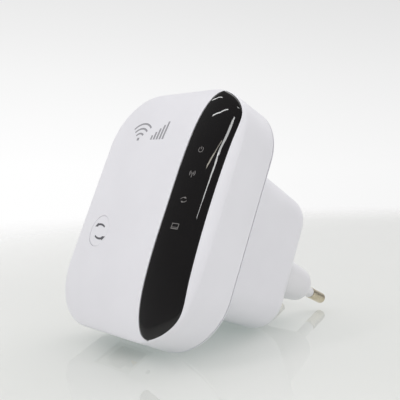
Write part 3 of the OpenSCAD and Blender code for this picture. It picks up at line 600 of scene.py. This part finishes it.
sleeve_bore = PIN_CORE_R + SLEEVE_GAP
sleeve_profile = [(sleeve_bore, NOSE_TIP - SLEEVE_SEAT), (SLEEVE_R, NOSE_TIP - SLEEVE_SEAT),
                  (SLEEVE_R, SLEEVE_END - PLUG_BREAK), (SLEEVE_R - PLUG_BREAK, SLEEVE_END),
                  (sleeve_bore, SLEEVE_END)]
tip_turn = quarter(8)
tip_profile = np.stack([PIN_R - TIP_ROUND * (1 - np.cos(tip_turn)),
                        PIN_TIP - TIP_ROUND * (1 - np.sin(tip_turn))], -1)
pin_step = SLEEVE_END + PIN_STEP_GAP
pin_profile = np.concatenate([[(PIN_CORE_R, PIN_ROOT), (PIN_CORE_R, pin_step),
                               (PIN_R - PLUG_BREAK, pin_step),
                               (PIN_R, SLEEVE_END + PLUG_BREAK)], tip_profile])
for side, x in (("left", -PIN_SPACING / 2), ("right", PIN_SPACING / 2)):
    dress(piece(f"sleeve_{side}_tube", [turned(x, PIN_Z, sleeve_profile)]), "casing",
          "plug_white", plug_white, f"sleeve_{side}")
    dress(piece(f"pin_{side}_turned", [turned(x, PIN_Z, pin_profile)]), "casing",
          "pin_brass", pin_metal, f"pin_{side}")


# prints: thin ribbons that follow a path on a face
def ribbon(path, width, depth_at, lift=0.03, sink=0.05):
    """Rings of a flat ribbon along a path of (x, z) pairs: half its width to both sides of the
    path, a lift above the face it lies on and sunk a little into it."""
    path = np.asarray(path, float)
    along = np.gradient(path, axis=0)
    along /= np.linalg.norm(along, axis=1, keepdims=True)
    across = np.stack([-along[:, 1], along[:, 0]], -1)
    half = np.broadcast_to(np.asarray(width, float), (len(path),))[:, None] / 2
    left, right = path + across * half, path - across * half
    sides = np.stack([left, right, right, left], 1)
    depth = depth_at(sides[..., 0], sides[..., 1]) + np.array([-lift, -lift, sink, sink])
    return np.stack([sides[..., 0], depth, sides[..., 1]], -1)


def arrow_widths(stem, head):
    """Widths along an arrow: a stem and then a head, each running evenly from one width to
    another in so many steps."""
    return np.concatenate([np.linspace(*stem), np.linspace(*head)])


ICON_LINE = 0.21


def draw_wired(x, z):
    """Wired network: two slanted posts with a lintel, a thin rail and a broad sill."""
    half_h, slant, post, reach = 0.75, 0.1, 1.15, 1.25
    posts = [ribbon(line((x + a, z - half_h), (x + a + slant, z + half_h)), ICON_LINE, strip_top)
             for a in (-post, post)]
    bars = [ribbon(line((x - reach, z + up), (x + reach, z + up)), wide, strip_top)
            for up, wide in ((half_h, ICON_LINE), (-0.3, 0.13), (-0.72, 0.26))]
    return posts + bars


def draw_pairing(x, z):
    """Pairing: two circling strokes on an ellipse that grow towards their heads."""
    widths, sweep, ellipse = arrow_widths((0.14, 0.24, 11), (0.55, 0.1, 5)), 128, (1.1, 0.68)
    return [ribbon(arc_points(0, 0, 1.0, start, start - sweep, len(widths)) * ellipse + (x, z),
                   widths, strip_top) for start in (170, 350)]


def draw_wireless(x, z):
    """Wireless: a mast with arcs of two radii on both sides of its top."""
    mast = [ribbon(line((x, z - 1.05), (x, z + 0.4)), ICON_LINE, strip_top)]
    spread, wave_z = 48, z + 0.3
    return mast + [ribbon(arc_points(x, wave_z, r, middle - spread, middle + spread, 9),
                          ICON_LINE, strip_top) for r in (0.5, 0.95) for middle in (0, 180)]


def draw_power(x, z):
    """Power: a ring with a gap at its top and a bar in the gap."""
    return [ribbon(arc_points(x, z, 0.8, -235, 55, 26), ICON_LINE, strip_top),
            ribbon(line((x, z + 0.05), (x, z + 0.95)), ICON_LINE, strip_top)]


for name, draw, x, z in (("wired", draw_wired, 18.55, 32.65),
                         ("pairing", draw_pairing, 18.7, 40.45),
                         ("wireless", draw_wireless, 18.8, 48.2),
                         ("power", draw_power, 19.1, 55.8)):
    dress(piece(f"icon_{name}", draw(x, z)), "casing", "shell_white", icon_grey)

# generic signal mark on the front: a fan of arcs over a dot, and a row of rising bars
MARK_X, MARK_Z, MARK_SPREAD, MARK_LINE, MARK_RADII = -11.2, 59.6, 45, 0.62, (2.5, 4.3, 6.1)
DOT_HALF, DOT_UP, DOT_H = 0.5, 0.45, 0.95
BAR_COUNT, BAR_X, BAR_PITCH, BAR_LOW, BAR_RISE, BAR_W = 5, -4.6, 1.35, 1.5, 1.2, 0.75
mark = [ribbon(arc_points(MARK_X, MARK_Z, r, 90 - MARK_SPREAD, 90 + MARK_SPREAD, 17), MARK_LINE,
               front_y) for r in MARK_RADII]
mark.append(ribbon(line((MARK_X - DOT_HALF, MARK_Z + DOT_UP), (MARK_X + DOT_HALF, MARK_Z + DOT_UP)),
                   DOT_H, front_y))
bar_x = BAR_X + BAR_PITCH * np.arange(BAR_COUNT)
bar_top = MARK_Z + BAR_LOW + BAR_RISE * np.arange(BAR_COUNT)
mark += [ribbon(line((x, MARK_Z), (x, top)), BAR_W, front_y) for x, top in zip(bar_x, bar_top)]
dress(piece("signal_mark", mark), "casing", "shell_white", print_grey)

# two turning arrows on the button, flat arcs that lie above and below its middle and lean aside
ARROW_R, ARROW_SPREAD, ARROW_ASIDE, ARROW_UP = 5.2, 32, 0.85, 2.28
ARROW_X, ARROW_Z = BUTTON_X + 0.65, BUTTON_Z - 0.2
ARROW_WIDTHS = arrow_widths((0.5, 0.7, 15), (1.35, 0.15, 6))


def draw_arrow(way):
    """One arrow, above the button's middle where way is 1 and below it where way is -1."""
    middle = 180 - way * 90
    path = arc_points(ARROW_X - way * ARROW_ASIDE, ARROW_Z + way * (ARROW_UP - ARROW_R), ARROW_R,
                      middle - ARROW_SPREAD, middle + ARROW_SPREAD, len(ARROW_WIDTHS))
    return ribbon(path, ARROW_WIDTHS, front_y)


dress(piece("button_arrows", [draw_arrow(1), draw_arrow(-1)]), "push_button", "shell_white",
      print_dark)

# table: a clear glossy sheet over a pale base, both with an edge that fades out
TABLE_MIDDLE, TABLE_HUB, TABLE_R, TABLE_FADE = (0.22, 0.22, 0.0), 0.01, 0.65, 0.35
TABLE_RINGS, TABLE_STEPS = 24, 96
TABLE_TONES = (208, 202, 202), (211, 205, 205)
TABLE_GLOW, TABLE_GLOW_TINT = 0.27, (225, 242, 236)
GLASS_TINT, GLASS_ROUGH, GLASS_IOR = (250, 251, 250), 0.03, 1.5
GLASS_T, GLASS_TOP = 0.0014, -0.00001


def table_disc(name, z, finish):
    """A flat disc at a height, as rings of points round the table's middle, that fades out."""
    radius = np.linspace(TABLE_HUB, TABLE_R, TABLE_RINGS)[:, None]
    turn = np.linspace(0, 2 * math.pi, TABLE_STEPS, endpoint=False)
    flat = np.full((TABLE_RINGS, TABLE_STEPS), z)
    grid = np.stack([radius * np.cos(turn), radius * np.sin(turn), flat], -1) + TABLE_MIDDLE
    faces = quads(TABLE_RINGS, TABLE_STEPS)[:, ::-1].tolist() + [list(range(TABLE_STEPS))]
    mesh = bpy.data.meshes.new(name)
    mesh.from_pydata(grid.reshape(-1, 3).tolist(), [], faces)
    finish.fade(TABLE_MIDDLE, TABLE_FADE, TABLE_R)
    mesh.materials.append(finish.material)
    place_in_scene(name, mesh)


table_base = moulded("table_base", linear(*TABLE_TONES[0]), linear(*TABLE_TONES[1]), (0.7, 0.8),
                     40.0, 0.000004, 4.0)
table_base.set(Specular_IOR_Level=0.0, Emission_Color=linear(*TABLE_GLOW_TINT),
               Emission_Strength=TABLE_GLOW)
table_disc("table_base", -GLASS_T, table_base)
table_glass = Finish("table_glass")
table_glass.clear_gloss(linear(*GLASS_TINT), GLASS_ROUGH, GLASS_IOR)
table_disc("table_glass", GLASS_TOP, table_glass)

# CAD nodes: each gets a finish made from its slot in the record
METALS = ("brass", "brushed_steel", "aluminium")
INNER_GAIN, INNER_LIFT, INNER_ROUGH = 1.12, 0.005, (0.3, 0.45)


def inner_finish(slot):
    """A slot's own colour drifting to a slightly lighter one, as metal or as moulded plastic."""
    entry = next(m for m in frame["record"]["materials"] if m["slot"] == slot)
    tint = [min(1.0, c * INNER_GAIN + INNER_LIFT) for c in entry["base_color"]]
    maker = metal if entry["class"] in METALS else moulded
    return maker(f"inner_{slot}", (*entry["base_color"], 1.0), (*tint, 1.0), INNER_ROUGH)


slots = {part["node"]: part["material_slot"] for part in frame["record"]["subparts"]}
inner = {}
for node_name, node in nodes.items():
    slot = slots[node_name]
    if slot not in inner:
        inner[slot] = inner_finish(slot).material
    node.data.materials.clear()
    node.data.materials.append(inner[slot])
# the jack is pale, so that the mirror image of its mouth in the table stays faint
jack_pale = moulded("jack_plastic", linear(204, 204, 206), linear(211, 211, 213), (0.35, 0.45))
nodes["ethernet_jack"].data.materials[0] = jack_pale.material

# camera, worked out from the photograph's vanishing lines and the plug's size
CAMERA_POS = Vector((143.78, -116.99 - Y_MID, 53.65 - REST_Z))
CAMERA_AIM = Vector((25.0, -Y_MID, 44.51 - REST_Z))
FOCAL_PIXELS, FRAME_PIXELS, SENSOR = 619.99, 400, 36.0
camera_data = bpy.data.cameras.new("camera")
camera_data.lens = SENSOR * FOCAL_PIXELS / FRAME_PIXELS
camera_data.sensor_width = SENSOR
camera_data.clip_start = 0.01
camera = place_in_scene("camera", camera_data)
camera.location = CAMERA_POS * MM
camera.rotation_euler = (CAMERA_AIM - CAMERA_POS).to_track_quat("-Z", "Y").to_euler()
scene = bpy.context.scene
scene.camera = camera

# lamps: bent tubes overhead, which the strip mirrors, and two broad soft ones
LAMP_AIM, LAMP_Z = (0, 0, 0.04), 0.9
PLAIN_WHITE, WARM_WHITE = (1, 1, 1), (1.0, 0.95, 0.82)
SOFTBOX, KEY, SOFT_W = 1.4, 0.9, 0.8
# name, radiance, colour, and the stops of a tube: x, y and width
TUBES = (
    ("long_tube", 11.0, PLAIN_WHITE,
     [(-0.071, -0.427, 0.03), (-0.09, -0.49, 0.055), (-0.104, -0.57, 0.075),
      (-0.112, -0.7, 0.085), (-0.117, -0.84, 0.08), (-0.124, -0.968, 0.07)]),
    ("long_tube_end", 14.0, PLAIN_WHITE,
     [(-0.124, -0.968, 0.065), (-0.143, -1.012, 0.05), (-0.163, -1.06, 0.036),
      (-0.19, -1.14, 0.02), (-0.218, -1.213, 0.012)]),
    ("warm_tube", 9.0, WARM_WHITE,
     [(-0.2, -0.794, 0.025), (-0.255, -0.944, 0.018), (-0.385, -0.987, 0.008)]),
    ("left_tube", 13.0, PLAIN_WHITE,
     [(-0.671, -0.404, 0.012), (-0.488, -0.408, 0.014), (-0.293, -0.354, 0.014)]),
    ("far_left_tube", 9.0, PLAIN_WHITE,
     [(-0.915, -0.01, 0.022), (-0.769, -0.089, 0.022), (-0.496, -0.155, 0.022)]),
    ("small_lamp", 9.0, PLAIN_WHITE, [(-0.04, -0.144, 0.025), (0.04, -0.104, 0.025)]),
)


def lamp(name, start, end, width, radiance, colour=PLAIN_WHITE):
    """A flat lamp that runs from start to end, its face towards the part; its power is the
    radiance times pi times its area."""
    start, end = Vector(start), Vector(end)
    along = end - start
    data = bpy.data.lights.new(name, "AREA")
    data.shape = "RECTANGLE"
    data.size, data.size_y = along.length, width
    data.energy = radiance * math.pi * along.length * width
    data.color = colour
    middle = (start + end) / 2
    x = along.normalized()
    back = middle - Vector(LAMP_AIM)
    z = (back - back.dot(x) * x).normalized()
    turn = Matrix((x, z.cross(x), z)).transposed().to_4x4()
    place_in_scene(name, data).matrix_world = Matrix.Translation(middle) @ turn


for name, radiance, colour, stops in TUBES:
    for i, ((x0, y0, w0), (x1, y1, w1)) in enumerate(zip(stops, stops[1:])):
        lamp(f"{name}_{i}", (x0, y0, LAMP_Z), (x1, y1, LAMP_Z), (w0 + w1) / 2, radiance, colour)
lamp("softbox", (-0.8, 0.8, 1.0), (0.6, 0.8, 1.0), SOFT_W, SOFTBOX)
lamp("key", (1.5, -0.6, 0.6), (1.5, 0.4, 0.6), SOFT_W, KEY)

# room: the backdrop's level by height; the side towards which it dims a little, and the side away
# from which the mirrored room dims (each with the two turns that bound the change and the levels
# there); then the plain light's level, how much it grows high behind and low in front, and the
# height that parts the two
SKY = ((0.0, 1.0), (0.07, 0.965), (0.139, 0.922), (0.2, 0.871), (0.26, 0.823), (0.45, 0.7),
       (0.7, 0.65))
DIM_SIDE, DIM_RANGE = (0.7, 0.71, 0.0), (-0.3, 0.6, 1.0, 0.91)
ROOM_SIDE, ROOM_RANGE = (-0.7, 0.71, 0.0), (0.5, 0.85, 0.33, 1.0)
PLAIN_LIGHT, CROSS, CROSS_Z = 0.765, 1.3, 0.5

scene.view_settings.view_transform = "Standard"
world = bpy.data.worlds.new("studio")
scene.world = world
world.use_nodes = True
tree = world.node_tree
towards = tree.nodes.new("ShaderNodeTexCoord").outputs["Generated"]
split = tree.nodes.new("ShaderNodeSeparateXYZ")
tree.links.new(towards, split.inputs["Vector"])


def by_height(levels):
    """A grey that runs evenly through levels given at heights of a direction."""
    node = tree.nodes.new("ShaderNodeValToRGB")
    elements = node.color_ramp.elements
    elements.remove(elements[1])
    for i, (height, level) in enumerate(levels):
        element = elements.new(height) if i else elements[0]
        element.position = height
        element.color = (level, level, level, 1)
    tree.links.new(split.outputs["Z"], node.inputs["Fac"])
    return node.outputs["Color"]


def by_side(side, limits):
    """A level that changes smoothly with how far a direction turns towards a side."""
    aside = tree.nodes.new("ShaderNodeVectorMath")
    aside.operation = "DOT_PRODUCT"
    aside.inputs[1].default_value = side
    level = tree.nodes.new("ShaderNodeMapRange")
    level.interpolation_type = "SMOOTHSTEP"
    for key, value in zip(("From Min", "From Max", "To Min", "To Max"), limits):
        level.inputs[key].default_value = value
    tree.links.new(towards, aside.inputs[0])
    tree.links.new(aside.outputs["Value"], level.inputs["Value"])
    return level.outputs["Result"]


def combine(operation, *sources):
    """A Math node over sockets and plain numbers."""
    node = tree.nodes.new("ShaderNodeMath")
    node.operation = operation
    for socket, source in zip(node.inputs, sources):
        if isinstance(source, (int, float)):
            socket.default_value = source
        else:
            tree.links.new(source, socket)
    return node.outputs["Value"]


# the camera sees the pale backdrop; gloss and glass see it too, with a dimmer room in front of it;
# everything else is lit by the plain light: its level times 1 + CROSS y (z - CROSS_Z), with 0 as
# the least, y and z being those of the direction that the light comes from
ray = tree.nodes.new("ShaderNodeLightPath").outputs
room = combine("MAXIMUM", ray["Is Camera Ray"], by_side(ROOM_SIDE, ROOM_RANGE))
seen = combine("MAXIMUM", ray["Is Camera Ray"],
               combine("MAXIMUM", ray["Is Glossy Ray"], ray["Is Transmission Ray"]))
backdrop = combine("MULTIPLY", by_height(SKY), by_side(DIM_SIDE, DIM_RANGE))
mirrored = combine("MULTIPLY", seen, combine("MULTIPLY", backdrop, room))
high = combine("SUBTRACT", split.outputs["Z"], CROSS_Z)
slant = combine("MULTIPLY", CROSS, combine("MULTIPLY", split.outputs["Y"], high))
cross = combine("MAXIMUM", combine("ADD", 1.0, slant), 0.0)
plain = combine("MULTIPLY", combine("SUBTRACT", 1.0, seen),
                combine("MULTIPLY", cross, PLAIN_LIGHT))
background = tree.nodes["Background"]
background.inputs["Color"].default_value = (1, 1, 1, 1)
tree.links.new(combine("ADD", mirrored, plain), background.inputs["Strength"])
